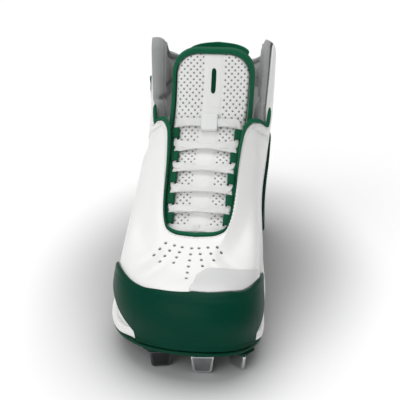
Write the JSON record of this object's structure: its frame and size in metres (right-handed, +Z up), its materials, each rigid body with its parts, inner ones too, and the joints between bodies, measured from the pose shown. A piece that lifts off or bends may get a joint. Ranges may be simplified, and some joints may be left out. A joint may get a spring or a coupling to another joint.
{
  "type": "athletic cleat",
  "caption": "Right high-collared field cleat: hollow laced upper, wrapped toe cap, padded collar, foam wedge and a studded plate with steel blades to grip turf.",
  "frame": {"origin": "middle of the shoe's box in plan, on the ground under the blades' tips", "axes": "toe to -Y, heel to +Y, the wearer's medial side to +X, +Z up"},
  "size_m": [0.107, 0.3012, 0.1838],
  "materials": {
    "plate": "moulded, satin",
    "spikes": "worn satin",
    "midsole": "moulded foam, matt skin",
    "insole": "knit cover",
    "upper": "smooth coated leather",
    "bumper": "satin moulded cap",
    "overlay": "smooth coated leather",
    "counter": "smooth coated leather",
    "lining": "padded satin knit",
    "piping": "woven edge tape",
    "tabs": "woven webbing",
    "tongue": "perforated coated leather",
    "binding": "padded knit edge",
    "keeper": "woven strap",
    "loops": "woven webbing",
    "lace": "flat woven lace"
  },
  "bodies": {
    "root": {"outsole_plate": "plate", "spike_toe_centre": "spikes", "spike_toe_lateral": "spikes", "spike_toe_medial": "spikes", "spike_ball_medial": "spikes", "spike_ball_lateral": "spikes", "spike_ball_centre": "spikes", "spike_heel_medial": "spikes", "spike_heel_lateral": "spikes", "spike_heel_back": "spikes", "midsole": "midsole", "insole": "insole", "upper": "upper", "toe_bumper": "bumper", "toe_overlay": "overlay", "heel_counter": "counter", "collar_lining": "lining", "throat_piping": "piping", "heel_tab": "tabs", "side_tab": "tabs", "tongue": "tongue", "tongue_binding": "binding", "tongue_keeper": "keeper", "lace_loops_medial": "loops", "lace_loops_lateral": "loops", "lace": "lace"}
  },
  "joints": []
}
